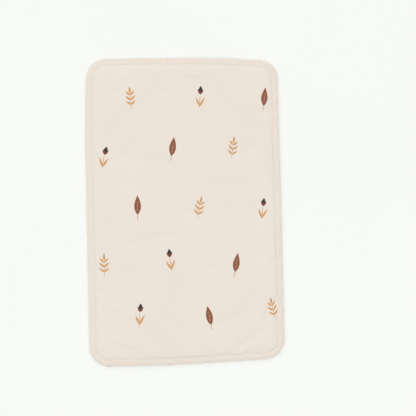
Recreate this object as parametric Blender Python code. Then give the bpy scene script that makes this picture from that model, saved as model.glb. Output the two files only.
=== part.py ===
"""A thin padded changing mat: two turned-in cloth panels sewn round a foam sheet.

The mat lies on the XY plane, head end towards +Y, with its underside's centre at the origin. Metres.
"""

import math

import bmesh
import bpy

# Plan of the finished mat
PAD_WIDTH = 0.381
PAD_LENGTH = 0.598
CORNER_RADIUS = 0.040
LONG_SIDE_BOW = 0.0008
SHORT_SIDE_BOW = 0.0020

# Cloth, foam and thread
CLOTH_THICKNESS = 0.0006
FOAM_THICKNESS = 0.0078
FOAM_AT_STITCH = 0.00275
TOPSTITCH_THREAD = 0.0006
SEAM_THREAD = 0.0004

# Edge, from the outline inwards
RIM_WIDTH = 0.012
RIM_FALL = 0.0016
RIM_SLOPE = math.radians(20)
RIM_PUFF = 0.0012
FOAM_MARGIN = 0.0024
SEAM_INSET = 0.0060
EDGE_RISE = 0.0065
CROWN_SWELL = 0.0008
CROWN_RUN = 0.088
CROWN_CORNER_RADIUS = 0.012
CHANNEL_FALL = 0.0024

# Clearances
CLEARANCE = 0.0003
FOLD_INNER_RADIUS = 0.0003
THREAD_ROOM_SPARE = 0.00015

# Finishes: colour, then roughness
PRINTED_CLOTH = ((0.78, 0.70, 0.62), 0.45)
PLAIN_CLOTH = ((0.76, 0.68, 0.60), 0.50)
FOAM = ((0.88, 0.85, 0.76), 0.95)
THREAD = ((0.80, 0.72, 0.63), 0.70)

# Facets
CORNER_STEPS = 5
LONG_SIDE_STEPS = 6
SHORT_SIDE_STEPS = 4
FOLD_STEPS = 4
ROLL_STEPS = 4
CROWN_STATIONS = (0.4, 1.0, 2.0, 3.5)
THREAD_BEVEL_RESOLUTION = 1
SHARP_ANGLE = math.radians(40)

# Sizes that follow from the ones above
FOLD_RADIUS = CLOTH_THICKNESS + FOLD_INNER_RADIUS
CLOTH_AND_GAP = CLOTH_THICKNESS + CLEARANCE
CHANNEL_HALF_WIDTH = TOPSTITCH_THREAD / 2 + CLEARANCE
CHANNEL_DEPTH_UNDER = TOPSTITCH_THREAD + 2 * CLEARANCE
CHANNEL_HEIGHT = CHANNEL_DEPTH_UNDER + 2 * CLOTH_AND_GAP + FOAM_AT_STITCH
SHOULDER_HEIGHT = 2 * CLOTH_AND_GAP + FOAM_THICKNESS - CROWN_SWELL
SEAM_THREAD_ROOM = SEAM_THREAD + 2 * CLEARANCE + THREAD_ROOM_SPARE
LOWER_HEM_TOP = 2 * CLOTH_THICKNESS + SEAM_THREAD_ROOM
UPPER_HEM_BOTTOM = LOWER_HEM_TOP + CLEARANCE
RIM_HEIGHT = UPPER_HEM_BOTTOM + 2 * CLOTH_THICKNESS + SEAM_THREAD_ROOM + RIM_PUFF
RIM_CREST_INSET = RIM_WIDTH - CHANNEL_HALF_WIDTH - RIM_FALL
CROWN_INSET = RIM_WIDTH + CROWN_RUN
FOAM_EDGE_INSET = RIM_WIDTH - FOAM_MARGIN
HEM_END_INSET = FOAM_EDGE_INSET - CLEARANCE


def clear_scene():
    """Remove whatever the scene holds."""
    for old in list(bpy.data.objects):
        bpy.data.objects.remove(old, do_unlink=True)


def make_material(name, colour, roughness):
    """Return a plain non-metal material."""
    material = bpy.data.materials.new(name)
    material.use_nodes = True
    shader = material.node_tree.nodes["Principled BSDF"]
    shader.inputs["Base Color"].default_value = (*colour, 1.0)
    shader.inputs["Roughness"].default_value = roughness
    shader.inputs["Metallic"].default_value = 0.0
    return material


def side_points(start, end, steps, bow, outward):
    """Points between two corners, bowed out a little towards the middle of the side."""
    points = []
    for step in range(1, steps):
        share = step / steps
        push = bow * (1 - math.cos(2 * math.pi * share)) / 2
        points.append(
            (
                start[0] + (end[0] - start[0]) * share + outward[0] * push,
                start[1] + (end[1] - start[1]) * share + outward[1] * push,
            )
        )
    return points


def outline(inset):
    """Points round the mat, anticlockwise, at a distance in from its edge."""
    half_width = PAD_WIDTH / 2 - LONG_SIDE_BOW - inset
    half_length = PAD_LENGTH / 2 - SHORT_SIDE_BOW - inset
    radius = max(CORNER_RADIUS - inset, CROWN_CORNER_RADIUS)
    arcs = []
    for quarter, (side_x, side_y) in enumerate(((1, 1), (-1, 1), (-1, -1), (1, -1))):
        centre_x = side_x * (half_width - radius)
        centre_y = side_y * (half_length - radius)
        arc = []
        for step in range(CORNER_STEPS + 1):
            angle = math.pi / 2 * (quarter + step / CORNER_STEPS)
            arc.append((centre_x + radius * math.cos(angle), centre_y + radius * math.sin(angle)))
        arcs.append(arc)
    sides = (
        (SHORT_SIDE_STEPS, SHORT_SIDE_BOW, (0, 1)),
        (LONG_SIDE_STEPS, LONG_SIDE_BOW, (-1, 0)),
        (SHORT_SIDE_STEPS, SHORT_SIDE_BOW, (0, -1)),
        (LONG_SIDE_STEPS, LONG_SIDE_BOW, (1, 0)),
    )
    points = []
    for arc, following, side in zip(arcs, arcs[1:] + arcs[:1], sides):
        points += arc
        points += side_points(arc[-1], following[0], *side)
    return points


def offset_path(path, distance):
    """Move a section's path to its left by a distance, keeping its corners mitred."""
    moved = []
    for index, (inset, height) in enumerate(path):
        normals = []
        for start, end in ((index - 1, index), (index, index + 1)):
            if start < 0 or end == len(path):
                continue
            along = (path[end][0] - path[start][0], path[end][1] - path[start][1])
            length = math.hypot(*along)
            normals.append((-along[1] / length, along[0] / length))
        mean = (sum(n[0] for n in normals), sum(n[1] for n in normals))
        reach = distance / (mean[0] * normals[0][0] + mean[1] * normals[0][1])
        moved.append((inset + mean[0] * reach, height + mean[1] * reach))
    return moved


def height_on(path, inset):
    """The height of a section's path at an inset past the rim's crest."""
    for (inset_a, height_a), (inset_b, height_b) in zip(path, path[1:]):
        if inset_a <= inset <= inset_b:
            return height_a + (height_b - height_a) * (inset - inset_a) / (inset_b - inset_a)
    raise ValueError("the path doesn't reach this inset")


def turned_edge(hem_face, lift):
    """Out along the allowance's face and round its fold, up or down to where the rim's slope begins."""
    path = [(HEM_END_INSET, hem_face)]
    for step in range(FOLD_STEPS + 1):
        angle = (math.pi - RIM_SLOPE) * step / FOLD_STEPS
        path.append((FOLD_RADIUS * (1 - math.sin(angle)), hem_face + lift * FOLD_RADIUS * (1 - math.cos(angle))))
    return path


def roll(start, end):
    """The rim's curve from the fold to a level place, at first as steep as the fold leaves it."""
    run = end[0] - start[0]
    rise = end[1] - start[1]
    power = math.tan(RIM_SLOPE) * run / abs(rise)
    path = []
    for step in range(1, ROLL_STEPS + 1):
        share = step / ROLL_STEPS
        path.append((start[0] + run * share, start[1] + rise * (1 - (1 - share) ** power)))
    return path


def top_face():
    """The upper side's outer face in section: hem, rim, stitch channel and crown."""
    channel_outer = RIM_WIDTH - CHANNEL_HALF_WIDTH
    channel_inner = RIM_WIDTH + CHANNEL_HALF_WIDTH
    path = turned_edge(UPPER_HEM_BOTTOM, 1)
    path += roll(path[-1], (RIM_CREST_INSET, RIM_HEIGHT))
    path.append(
        (
            (RIM_CREST_INSET + channel_outer) / 2,
            CHANNEL_HEIGHT + (RIM_HEIGHT - CHANNEL_HEIGHT) * math.cos(math.pi / 4),
        )
    )
    path.append((channel_outer, CHANNEL_HEIGHT))
    path.append((channel_inner, CHANNEL_HEIGHT))
    for station in CROWN_STATIONS:
        risen = 1 - math.exp(-station)
        path.append(
            (
                channel_inner + station * EDGE_RISE,
                CHANNEL_HEIGHT + (SHOULDER_HEIGHT - CHANNEL_HEIGHT) * risen,
            )
        )
    path.append((CROWN_INSET, SHOULDER_HEIGHT + CROWN_SWELL))
    return path


def under_face():
    """The underside's outer face in section: hem, rim, stitch channel and the flat it lies on."""
    channel_outer = RIM_WIDTH - CHANNEL_HALF_WIDTH
    channel_inner = RIM_WIDTH + CHANNEL_HALF_WIDTH
    path = turned_edge(LOWER_HEM_TOP, -1)
    fold_inset, fold_height = path[-1]
    path += roll(path[-1], (fold_inset + 2 * fold_height / math.tan(RIM_SLOPE), 0.0))
    path.append((channel_outer - CHANNEL_FALL, 0.0))
    path.append((channel_outer, CHANNEL_DEPTH_UNDER))
    path.append((channel_inner, CHANNEL_DEPTH_UNDER))
    path.append((channel_inner + CHANNEL_FALL, 0.0))
    path.append((CROWN_INSET, 0.0))
    return path


def loft(name, section, material):
    """Make a closed body from a section that starts and ends at the flat middle of the mat."""
    shape = bmesh.new()
    rings = []
    for inset, height in section:
        rings.append([shape.verts.new((x, y, height)) for x, y in outline(inset)])
    for ring, following in zip(rings, rings[1:]):
        for index in range(len(ring)):
            beside = (index + 1) % len(ring)
            shape.faces.new((ring[index], ring[beside], following[beside], following[index]))
    caps = [shape.faces.new(rings[0]), shape.faces.new(rings[-1])]
    bmesh.ops.triangulate(shape, faces=caps, ngon_method="BEAUTY")
    bmesh.ops.recalc_face_normals(shape, faces=shape.faces)
    mesh = bpy.data.meshes.new(name)
    shape.to_mesh(mesh)
    shape.free()
    mesh.shade_smooth()
    mesh.set_sharp_from_angle(angle=SHARP_ANGLE)
    mesh.materials.append(material)
    return add_object(name, mesh)


def add_object(name, data):
    """Put a sub-part into the scene under its name."""
    sub_part = bpy.data.objects.new(name, data)
    bpy.context.scene.collection.objects.link(sub_part)
    return sub_part


def make_cover(name, face, inward, material):
    """A panel of even thickness behind its outer face, with its allowance turned in."""
    inner_face = offset_path(face, inward * CLOTH_THICKNESS)
    return loft(name, face[::-1] + inner_face, material)


def foam_surface(face, inward):
    """The foam's surface under a panel, from the foam's edge to the middle."""
    surface = offset_path(face, inward * CLOTH_AND_GAP)
    past_edge = [point for point in surface if point[0] > FOAM_EDGE_INSET]
    kept = surface[-len(past_edge) - 1 :]
    return [(FOAM_EDGE_INSET, height_on(kept, FOAM_EDGE_INSET))] + past_edge


def make_foam(top, under, material):
    """The foam sheet, pressed thin at the stitch line and caught a little beyond it."""
    upper = foam_surface(top, -1)
    lower = foam_surface(under, 1)
    return loft("foam_core", upper[::-1] + lower, material)


def make_thread(name, inset, height, thickness, material):
    """A thread that runs right round the mat."""
    curve = bpy.data.curves.new(name, "CURVE")
    curve.dimensions = "3D"
    curve.fill_mode = "FULL"
    curve.bevel_depth = thickness / 2
    curve.bevel_resolution = THREAD_BEVEL_RESOLUTION
    route = outline(inset)
    spline = curve.splines.new("POLY")
    spline.points.add(len(route) - 1)
    for point, (x, y) in zip(spline.points, route):
        point.co = (x, y, height, 1.0)
    spline.use_cyclic_u = True
    curve.materials.append(material)
    return add_object(name, curve)


def build():
    """Model every piece of the mat and hang it on one empty."""
    clear_scene()
    printed_cloth = make_material("printed_cloth", *PRINTED_CLOTH)
    plain_cloth = make_material("plain_cloth", *PLAIN_CLOTH)
    foam = make_material("foam", *FOAM)
    thread = make_material("thread", *THREAD)

    top = top_face()
    under = under_face()
    topstitch_seat = TOPSTITCH_THREAD / 2 + CLEARANCE
    seam_seat = SEAM_THREAD / 2 + CLEARANCE
    upper_hem_top = UPPER_HEM_BOTTOM + CLOTH_THICKNESS
    lower_hem_bottom = LOWER_HEM_TOP - CLOTH_THICKNESS
    threads = (
        ("topstitch_needle_thread", RIM_WIDTH, CHANNEL_HEIGHT + topstitch_seat, TOPSTITCH_THREAD),
        ("topstitch_bobbin_thread", RIM_WIDTH, CHANNEL_DEPTH_UNDER - topstitch_seat, TOPSTITCH_THREAD),
        ("seam_needle_thread", SEAM_INSET, upper_hem_top + seam_seat, SEAM_THREAD),
        ("seam_bobbin_thread", SEAM_INSET, lower_hem_bottom - seam_seat, SEAM_THREAD),
    )

    mat = add_object("changing_mat", None)
    pieces = [
        make_cover("top_cover", top, -1, printed_cloth),
        make_cover("underside_cover", under, 1, plain_cloth),
        make_foam(top, under, foam),
    ]
    pieces += [make_thread(*sizes, thread) for sizes in threads]
    for piece in pieces:
        piece.parent = mat


build()
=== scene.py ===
"""Looks of a thin padded changing mat: cloth, foam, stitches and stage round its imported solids. Metres."""

import math

import bpy
import numpy as np
from bpy.props import FloatProperty, FloatVectorProperty, PointerProperty
from mathutils import Euler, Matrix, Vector


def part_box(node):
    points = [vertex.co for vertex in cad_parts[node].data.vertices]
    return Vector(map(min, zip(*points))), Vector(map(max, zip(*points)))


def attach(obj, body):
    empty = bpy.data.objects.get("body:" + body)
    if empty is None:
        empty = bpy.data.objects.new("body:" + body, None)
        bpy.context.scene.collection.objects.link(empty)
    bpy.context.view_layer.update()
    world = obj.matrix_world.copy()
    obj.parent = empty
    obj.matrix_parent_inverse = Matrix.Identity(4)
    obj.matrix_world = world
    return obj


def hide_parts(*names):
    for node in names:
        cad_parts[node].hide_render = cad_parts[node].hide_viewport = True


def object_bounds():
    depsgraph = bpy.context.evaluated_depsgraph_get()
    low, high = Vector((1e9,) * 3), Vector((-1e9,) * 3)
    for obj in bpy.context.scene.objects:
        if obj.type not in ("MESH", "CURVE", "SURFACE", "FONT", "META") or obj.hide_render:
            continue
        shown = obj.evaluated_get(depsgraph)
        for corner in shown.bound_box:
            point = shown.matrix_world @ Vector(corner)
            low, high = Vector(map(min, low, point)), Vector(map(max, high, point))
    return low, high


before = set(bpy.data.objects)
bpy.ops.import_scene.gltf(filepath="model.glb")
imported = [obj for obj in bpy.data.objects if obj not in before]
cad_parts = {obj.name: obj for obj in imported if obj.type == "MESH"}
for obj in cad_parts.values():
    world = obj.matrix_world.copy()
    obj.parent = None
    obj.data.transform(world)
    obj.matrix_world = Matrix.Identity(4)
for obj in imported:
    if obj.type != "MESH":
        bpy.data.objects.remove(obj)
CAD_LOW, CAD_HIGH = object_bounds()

bl_info = {
    "name": "Changing mat",
    "version": (1, 0, 0),
    "blender": (4, 5, 0),
    "location": "View3D > Sidebar > Changing mat",
    "description": "Builds a sewn, padded changing mat round its packed solids",
    "category": "Object",
}

BODY = "root"

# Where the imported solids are, from which the sizes below take their defaults
TOP_LOW, TOP_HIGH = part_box("top_cover")
UNDER_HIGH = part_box("underside_cover")[1]
FOAM_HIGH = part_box("foam_core")[1]
NEEDLE_LOW, NEEDLE_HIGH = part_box("topstitch_needle_thread")
BOBBIN_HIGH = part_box("topstitch_bobbin_thread")[1]
SEAM_LOW, SEAM_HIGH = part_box("seam_needle_thread")
TOPSTITCH_RADIUS = (NEEDLE_HIGH.z - NEEDLE_LOW.z) / 2
TOPSTITCH_INSET = CAD_HIGH.x - NEEDLE_HIGH.x + TOPSTITCH_RADIUS
SEAM_RADIUS = (SEAM_HIGH.z - SEAM_LOW.z) / 2
SEAM_INSET = CAD_HIGH.x - SEAM_HIGH.x + SEAM_RADIUS

# Stitches from the middle of one corner to the middle of the next, on a short and on a long side
STITCHES_ACROSS = 87
STITCHES_ALONG = 141
STITCH_COUNT = 2 * (STITCHES_ACROSS + STITCHES_ALONG)

# Columns of mesh for each stitch
CLOTH_COLUMNS = 2
THREAD_COLUMNS = 10
SEAM_COLUMNS = 3
THREAD_SIDES = 8

# Gaps between pieces, the tightest corner, and where the rings of a mesh give way to its grid
CLEARANCE = 0.0003
THREAD_SINK = 0.0001
FLOOR_GAP = 0.0002
LEAST_CORNER_RADIUS = 0.008
RING_END = 0.034

FLAT_MAP = "cloth_flat"
# Name of the attribute that holds the cloth's painted shade
SEAM_SHADE = "seam_shade"
LAMP_SPREAD = math.radians(120)
CAMERA_TURN = tuple(math.radians(angle) for angle in (2.1636, -6.2883, -1.3375))


def length_of(label, description, default):
    """A property for a length."""
    return FloatProperty(
        name=label, description=description, default=default, unit="LENGTH", subtype="DISTANCE", precision=5
    )


def share_of(label, description, default):
    """A property for a plain number."""
    return FloatProperty(name=label, description=description, default=default, min=0.0, precision=3)


def colour_of(label, description, default):
    """A property for a colour."""
    return FloatVectorProperty(
        name=label, description=description, default=default, subtype="COLOR", size=3, min=0.0, max=1.0
    )


def vector_of(label, description, default, subtype):
    """A property for a place, a direction or a turn."""
    return FloatVectorProperty(name=label, description=description, default=default, subtype=subtype)


def optics_of(label, description, default):
    """A property for a size of the camera."""
    return FloatProperty(name=label, description=description, default=default, unit="CAMERA")


class MatSizes(bpy.types.PropertyGroup):
    """Sizes of the sewn mat, which follow its solids."""

    width: length_of("Width", "Across the finished mat", CAD_HIGH.x - CAD_LOW.x)
    length: length_of("Length", "Along the finished mat", CAD_HIGH.y - CAD_LOW.y)
    corner_radius: length_of("Corner radius", "Of the finished edge", 0.040)
    long_side_bow: length_of("Long side bow", "How far a long side bows out", 0.0008)
    short_side_bow: length_of("Short side bow", "How far a short side bows out", 0.0020)
    cloth: length_of("Cloth thickness", "Of both panels", 0.0006)
    crown: length_of("Crown height", "Of the top face's middle", TOP_HIGH.z - CAD_LOW.z)
    crown_swell: length_of("Crown swell", "Slow rise over the middle", 0.0008)
    crown_inset: length_of("Crown inset", "From the edge to the flat of the crown", 0.100)
    edge_rise: length_of("Edge rise", "How quickly the face rises from the stitches", 0.0065)
    rim: length_of("Rim width", "From the edge to the topstitching", TOPSTITCH_INSET)
    rim_height: length_of("Rim height", "Of the rim's crest", 0.0062)
    rim_crest: length_of("Rim crest", "From the edge to the rim's crest", 0.0098)
    under_rim: length_of("Under rim", "From the edge to where the underside lies flat", 0.0039)
    upper_hem: length_of("Upper hem", "Height of the top panel's turned-in face", TOP_LOW.z)
    lower_hem: length_of("Lower hem", "Height of the underside's turned-in face", UNDER_HIGH.z)
    hem_end: length_of("Hem end", "How far in the turned hems reach", CAD_HIGH.x - FOAM_HIGH.x - CLEARANCE)
    fold: length_of("Fold radius", "Of the turned edge, outside", 0.0009)
    channel: length_of("Channel height", "Of the stitch channel on top", NEEDLE_LOW.z - THREAD_SINK)
    under_channel: length_of("Under channel", "Of the stitch channel below", BOBBIN_HIGH.z + CLEARANCE)
    topstitch: length_of("Topstitch thread", "Thread radius", TOPSTITCH_RADIUS)
    seam: length_of("Seam thread", "Thread radius", SEAM_RADIUS)
    seam_inset: length_of("Seam inset", "From the edge to the hidden seam", SEAM_INSET)


class MatLay(bpy.types.PropertyGroup):
    """How the soft mat lies: its waver, puckers, creases and lifted edge."""

    dimple: length_of("Stitch dimple", "How far each stitch end pulls the cloth down", 0.00012)
    pucker: length_of("Pucker", "Height of the soft puckers along the topstitching", 0.00082)
    gather: length_of("Corner gather", "Height of the gathers round the corners", 0.00022)
    ripple: length_of("Face ripple", "Height of the slow ripple of the face", 0.00022)
    crease: length_of("Crease", "Height of the soft creases", 0.00045)
    lift: length_of("Edge lift", "How far the head end's edge lifts off the floor", 0.0045)
    waver: share_of("Edge waver", "Share of the sewn edge's unevenness", 1.0)
    pressure: share_of("Pressure", "Of the filling on the cloth while it settles", 4.0)
    ease: share_of("Ease", "Spare cloth in the panel, as a share", 0.006)
    most_move: length_of("Most movement", "How far the cloth may move as it settles", 0.0010)


class MatColours(bpy.types.PropertyGroup):
    """Colours of the cloth, its print, the thread and the foam."""

    cloth: colour_of("Cloth", "Coated cloth of the top", (0.846, 0.768, 0.691))
    underside: colour_of("Underside", "Coated cloth of the underside", (0.826, 0.746, 0.666))
    tan: colour_of("Tan ink", "Sprigs and stems of the print", (0.640, 0.320, 0.105))
    brown: colour_of("Brown ink", "Broad leaves of the print", (0.230, 0.062, 0.024))
    night: colour_of("Dark ink", "Buds of the print", (0.014, 0.009, 0.010))
    vein: colour_of("Vein ink", "Veins of the broad leaves", (0.660, 0.400, 0.220))
    thread: colour_of("Thread", "Sewing thread", (0.835, 0.755, 0.670))
    foam: colour_of("Foam", "Foam sheet", (0.860, 0.820, 0.700))


class MatStage(bpy.types.PropertyGroup):
    """Floor, light and camera."""

    floor: colour_of("Floor", "Pale floor and backdrop", (0.960, 0.977, 0.951))
    sky: share_of("Sky", "Strength of the even light", 0.50)
    lamp: share_of("Lamp", "Strength of the soft lamp", 1.58)
    lamp_spread: FloatProperty(
        name="Lamp spread", description="Angle that the lamp fills", default=LAMP_SPREAD, subtype="ANGLE"
    )
    lamp_from: vector_of("Lamp from", "Direction of the lamp", (-0.12, 0.22, 0.967), "DIRECTION")
    camera_at: vector_of("Camera at", "Place of the camera", (-0.0879, -0.0392, 1.1883), "TRANSLATION")
    camera_turn: vector_of("Camera turn", "Turn of the camera", CAMERA_TURN, "EULER")
    lens: optics_of("Lens", "Focal length in millimetres", 35.0)
    sensor: optics_of("Sensor", "Sensor width in millimetres", 24.0)


def smooth_step(low, high, value):
    """A soft rise from 0 to 1 between two values."""
    share = np.clip((value - low) / (high - low), 0.0, 1.0)
    return share * share * (3 - 2 * share)


def at_height(places, height):
    """Points at places in plan, with one height or a height for each."""
    heights = np.broadcast_to(height, places.shape[:-1])
    return np.concatenate((places, heights[..., None]), -1)


class Plan:
    """Columns of a mesh round the outline, anticlockwise from the middle of the upper right corner."""

    def __init__(self, sizes, per_stitch):
        self.sizes = sizes
        radius = sizes.corner_radius - sizes.rim
        half_arc = radius * math.pi / 4
        reach_x, reach_y = self.reach(0.0, sizes.corner_radius)
        parts = {"share": [], "normal": [], "push": [], "turned": []}
        for quarter in range(4):
            short_side = quarter % 2 == 0
            count = (STITCHES_ACROSS if short_side else STITCHES_ALONG) * per_stitch
            straight = 2 * (reach_x if short_side else reach_y)
            bow = sizes.short_side_bow if short_side else sizes.long_side_bow
            facing = math.pi / 2 * (quarter + 1)
            out = np.array((round(math.cos(facing)), round(math.sin(facing))))
            along = np.array((-out[1], out[0]))
            run = np.arange(count) / count * (straight + 2 * half_arc) - half_arc
            turn = (np.minimum(run, 0) + np.maximum(run - straight, 0)) / radius
            share = np.clip(run / straight, 0, 1)[:, None]
            parts["share"].append(out + along * (2 * share - 1))
            parts["normal"].append(np.stack((np.cos(facing + turn), np.sin(facing + turn)), 1))
            parts["push"].append(out * bow * (1 - np.cos(2 * math.pi * share)) / 2)
            parts["turned"].append(np.abs(turn) / (math.pi / 4))
        self.share, self.normal, self.push, self.turned = (np.concatenate(p) for p in parts.values())
        self.count = len(self.turned)
        self.round = np.arange(self.count) / self.count
        self.phase = np.arange(self.count) % per_stitch / per_stitch

    def reach(self, inset, radius):
        """From the mat's middle to the corners' centres at an inset."""
        sizes = self.sizes
        return np.array(
            (
                sizes.width / 2 - sizes.long_side_bow - inset - radius,
                sizes.length / 2 - sizes.short_side_bow - inset - radius,
            )
        )

    def ring(self, inset, bowed=True):
        """Places round the mat at a distance in from its edge."""
        radius = max(self.sizes.corner_radius - inset, LEAST_CORNER_RADIUS)
        places = self.share * self.reach(inset, radius) + self.normal * radius
        return places + self.push if bowed else places

    def inset_of(self, places, inset):
        """How far places within a ring are from the edge, leaving out the bow."""
        radius = max(self.sizes.corner_radius - inset, LEAST_CORNER_RADIUS)
        past = np.abs(places) - self.reach(inset, radius)
        outside = np.linalg.norm(np.maximum(past, 0), axis=-1)
        return inset + radius - outside - np.minimum(past.max(-1), 0)


def rings_at(plan, insets, heights):
    """Rings of points at a plan's columns, one for each inset and height."""
    return np.array([at_height(plan.ring(inset), height) for inset, height in zip(insets, heights)])


MOST_RISE = 1.8
MOST_FALL = 1.0
WAVE_HEIGHTS = (0.4, 1.0)


def ripple_round(round_share, shortest, longest, perimeter, seed):
    """A seeded smooth ripple round the outline, of about unit height."""
    draw = np.random.default_rng(seed)
    waves = np.arange(int(perimeter / longest), int(perimeter / shortest) + 1)
    phases = draw.uniform(0, 2 * math.pi, len(waves))
    heights = draw.uniform(*WAVE_HEIGHTS, len(waves))
    total = (heights * np.cos(2 * math.pi * waves * round_share[:, None] + phases)).sum(1)
    total /= math.sqrt((heights**2).sum() / 2)
    most = np.where(total > 0, MOST_RISE, MOST_FALL)
    return most * np.tanh(total / most)


FACE_WAVES = 22
FACE_WAVE_LENGTHS = (0.055, 0.210)


def ripple_across(places, seed):
    """A seeded slow ripple of the face, of about unit height."""
    draw = np.random.default_rng(seed)
    total = np.zeros(places.shape[:-1])
    for _ in range(FACE_WAVES):
        facing = draw.uniform(0, math.pi)
        wave = 2 * math.pi / draw.uniform(*FACE_WAVE_LENGTHS)
        along = places[..., 0] * math.cos(facing) + places[..., 1] * math.sin(facing)
        total += np.cos(wave * along + draw.uniform(0, 2 * math.pi))
    return total / math.sqrt(FACE_WAVES / 2)


# Soft creases of the face: start, end, half width and share of the height
CREASES = (
    ((0.100, 0.226), (0.178, 0.222), 0.0042, 1.0),
    ((0.104, 0.186), (0.150, 0.222), 0.0050, 0.8),
    ((-0.165, -0.120), (-0.110, -0.155), 0.0060, 0.6),
    ((0.120, -0.060), (0.172, -0.030), 0.0060, 0.5),
)


CREASE_FADE = (0.012, 0.015)
CREASE_BEND = 0.0025


def creases_at(places):
    """Height of the soft creases, where the highest is about 1."""
    before, after = CREASE_FADE
    total = np.zeros(places.shape[:-1])
    for start, end, half_width, height in CREASES:
        line = np.subtract(end, start)
        length = np.linalg.norm(line)
        along = (places - start) @ line / length
        aside = ((places - start) @ (-line[1], line[0])) / length
        fade = smooth_step(-before, after, along) * (1 - smooth_step(length - after, length + before, along))
        bend = aside - CREASE_BEND * np.sin(along / length * math.pi)
        total += height * fade * np.exp(-((bend / half_width) ** 2))
    return total


SWELL_OVERRUN = 0.015
FACE_SEED = 11
FACE_START, FACE_FULL = 0.004, 0.040


def crown_at(sizes, inset):
    """Height of the top face past the stitch channel, by inset."""
    shoulder = sizes.crown - sizes.crown_swell
    past = np.maximum(inset - sizes.rim - sizes.topstitch - CLEARANCE, 0)
    risen = 1 - np.exp(-past / sizes.edge_rise)
    swell = smooth_step(sizes.rim, sizes.crown_inset + SWELL_OVERRUN, inset)
    return sizes.channel + (shoulder - sizes.channel) * risen + sizes.crown_swell * swell


def face_relief(sizes, lay, places, inset):
    """Slow ripple and creases of the face and of the foam under it."""
    ripple = lay.ripple * ripple_across(places, FACE_SEED)
    crease = lay.crease * creases_at(places)
    return (ripple + crease) * smooth_step(sizes.rim + FACE_START, sizes.rim + FACE_FULL, inset)


# Unevenness of the sewn edge: middle of the place, its spread, and how far it is pushed
EDGE_WAVERS = (
    ((-0.190, 0.125), (0.030, 0.055), (-0.0013, 0.0)),
    ((-0.186, 0.262), (0.030, 0.028), (0.0020, 0.0)),
    ((0.184, 0.284), (0.020, 0.020), (0.0016, 0.0012)),
    ((-0.082, 0.297), (0.035, 0.030), (0.0, 0.0011)),
    ((0.093, 0.297), (0.022, 0.030), (0.0, 0.0010)),
    ((0.134, 0.297), (0.020, 0.030), (0.0, -0.0010)),
    ((-0.060, -0.297), (0.045, 0.030), (0.0, -0.0008)),
)
LIFT_MIDDLE = 0.070
LIFT_SPREAD = 0.085
LIFT_RUN = 0.120


def lay_down(sizes, lay, places):
    """Give places of any piece the mat's waver and its lifted edge."""
    laid = places.copy()
    for middle, spread, push in EDGE_WAVERS:
        away = (places[..., :2] - middle) / spread
        near = np.exp(-(away**2).sum(-1))[..., None]
        laid[..., :2] += lay.waver * near * push
    across = np.exp(-(((places[..., 0] - LIFT_MIDDLE) / LIFT_SPREAD) ** 2))
    edge = sizes.length / 2
    risen = 2 * smooth_step(edge - LIFT_RUN, edge + LIFT_RUN, places[..., 1])
    laid[..., 2] += lay.lift * across * risen
    return laid


def grid_within(ring):
    """Fill a ring of columns with a grid between its four corner middles."""
    across, along = STITCHES_ACROSS, STITCHES_ALONG
    closed = np.concatenate((ring, ring[:1]))
    top = closed[: across + 1]
    left = closed[across : across + along + 1]
    bottom = closed[across + along : 2 * across + along + 1][::-1]
    right = closed[2 * across + along :][::-1]
    u = (np.arange(across + 1) / across)[:, None, None]
    v = (np.arange(along + 1) / along)[None, :, None]
    sides = (1 - v) * top[:, None] + v * bottom[:, None] + (1 - u) * right[None] + u * left[None]
    corners = (1 - u) * (1 - v) * top[0] + u * (1 - v) * top[-1]
    corners = corners + (1 - u) * v * bottom[0] + u * v * bottom[-1]
    return sides - corners


def grid_numbers(first_ring, first_inner):
    """Vertex numbers of a grid whose border is a ring that exists already."""
    across, along = STITCHES_ACROSS, STITCHES_ALONG
    numbers = np.zeros((across + 1, along + 1), int)
    ring = first_ring + np.arange(STITCH_COUNT + 1) % STITCH_COUNT
    numbers[:, 0] = ring[: across + 1]
    numbers[-1, :] = ring[across : across + along + 1]
    numbers[::-1, -1] = ring[across + along : 2 * across + along + 1]
    numbers[0, ::-1] = ring[2 * across + along :]
    numbers[1:-1, 1:-1] = first_inner + np.arange((across - 1) * (along - 1)).reshape(across - 1, along - 1)
    return numbers


def grid_faces(numbers):
    """Four-sided faces of a grid of vertex numbers, facing up."""
    first, second = numbers[:-1], numbers[1:]
    return np.stack((first[:, :-1], second[:, :-1], second[:, 1:], first[:, 1:]), -1).reshape(-1, 4)


def band_faces(first, second, count):
    """Four-sided faces between two rings of equal count."""
    here = np.arange(count)
    beside = (here + 1) % count
    return np.stack((first + here, first + beside, second + beside, second + here), 1)


def stack_faces(first, rows, count):
    """Four-sided faces that join rings of equal count, one after the other."""
    starts = first + np.arange(rows - 1) * count
    return [band_faces(start, start + count, count) for start in starts]


def step_faces(fine, coarse, count):
    """Three-sided faces from a ring of twice the columns to a ring of count columns."""
    here = np.arange(count)
    beside = (here + 1) % count
    left, middle, right = fine + 2 * here, fine + 2 * here + 1, fine + 2 * beside
    near, far = coarse + here, coarse + beside
    sides = ((left, middle, near), (middle, far, near), (middle, right, far))
    return np.concatenate([np.stack(side, 1) for side in sides])


SETTLE_ROUNDS = 14
SETTLE_RUN = 0.022


def settled_crown(sizes, inset):
    """Height of the top face within the rings, evened out where the four slopes meet."""
    raw = crown_at(sizes, inset)
    even = raw.copy()
    for _ in range(SETTLE_ROUNDS):
        beside = even[:-2, 1:-1] + even[2:, 1:-1] + even[1:-1, :-2] + even[1:-1, 2:]
        even[1:-1, 1:-1] = beside / 4
    return raw + (even - raw) * smooth_step(RING_END, RING_END + SETTLE_RUN, inset)


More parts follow.
